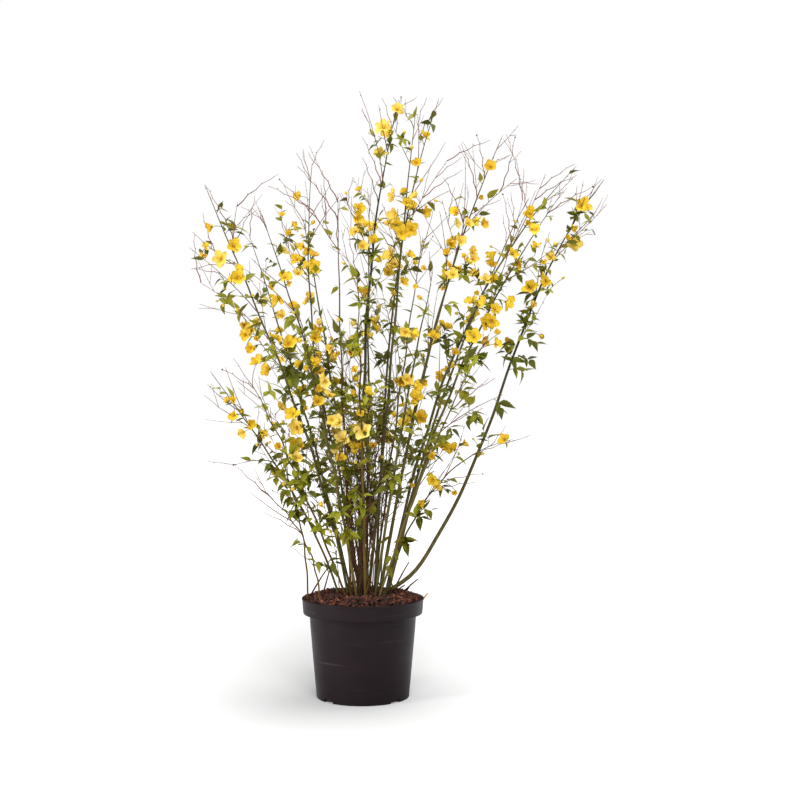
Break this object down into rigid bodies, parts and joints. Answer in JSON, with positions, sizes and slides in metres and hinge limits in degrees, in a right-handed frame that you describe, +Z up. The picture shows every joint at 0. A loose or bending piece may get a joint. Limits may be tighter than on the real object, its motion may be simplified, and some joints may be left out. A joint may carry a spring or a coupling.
{
  "type": "potted golden guinea kerria",
  "caption": "Flowering kerria shrub: slender canes fan out of a black nursery pot into sprays of thin twigs, bright green leaves and single golden-yellow blossom.",
  "frame": {"origin": "middle of the pot's flat underside", "axes": "+Z up the plant from the pot's underside, +X to the right as seen in the picture, +Y away from the picture's viewer"},
  "size_m": [0.876, 0.7342, 1.2963],
  "materials": {
    "pot": "charcoal black moulded plastic with a dull sheen and faint scuffs",
    "soil": "moist reddish-brown bark mulch and peat",
    "cane": "smooth green to olive-brown bark, faintly ribbed",
    "spray": "thin dark twigs, bright mid-green leaves and golden-yellow petals"
  },
  "bodies": {
    "root": {"pot": "pot", "soil": "soil", "cane_left_low": "cane", "cane_left_edge": "cane", "cane_left_dark": "cane", "cane_left_tall": "cane", "cane_left_inner": "cane", "cane_centre_front": "cane", "cane_centre_tall": "cane", "cane_centre_fork": "cane", "cane_right_tall": "cane", "cane_right_fan": "cane", "cane_right_fan_front": "cane", "cane_right_sweep": "cane", "cane_right_low": "cane", "cane_front_left": "cane", "cane_front_middle": "cane", "cane_front_right": "cane", "cane_front_right_low": "cane", "cane_front_left_low": "cane", "cane_back_far_left": "cane", "cane_back_left": "cane", "cane_back_middle": "cane", "cane_back_middle_right": "cane", "cane_back_right": "cane", "cane_back_far_right": "cane", "cane_rim_left": "cane", "cane_rim_left_inner": "cane", "spray_left_low": "spray", "spray_left_edge": "spray", "spray_left_dark": "spray", "spray_left_tall": "spray", "spray_left_inner": "spray", "spray_centre_front": "spray", "spray_centre_tall": "spray", "spray_centre_fork": "spray", "spray_right_tall": "spray", "spray_right_fan": "spray", "spray_right_fan_front": "spray", "spray_right_sweep": "spray", "spray_right_low": "spray", "spray_front_left": "spray", "spray_front_middle": "spray", "spray_front_right": "spray", "spray_front_right_low": "spray", "spray_front_left_low": "spray", "spray_back_far_left": "spray", "spray_back_left": "spray", "spray_back_middle": "spray", "spray_back_middle_right": "spray", "spray_back_right": "spray", "spray_back_far_right": "spray", "spray_rim_left": "spray", "spray_rim_left_inner": "spray"}
  },
  "joints": []
}
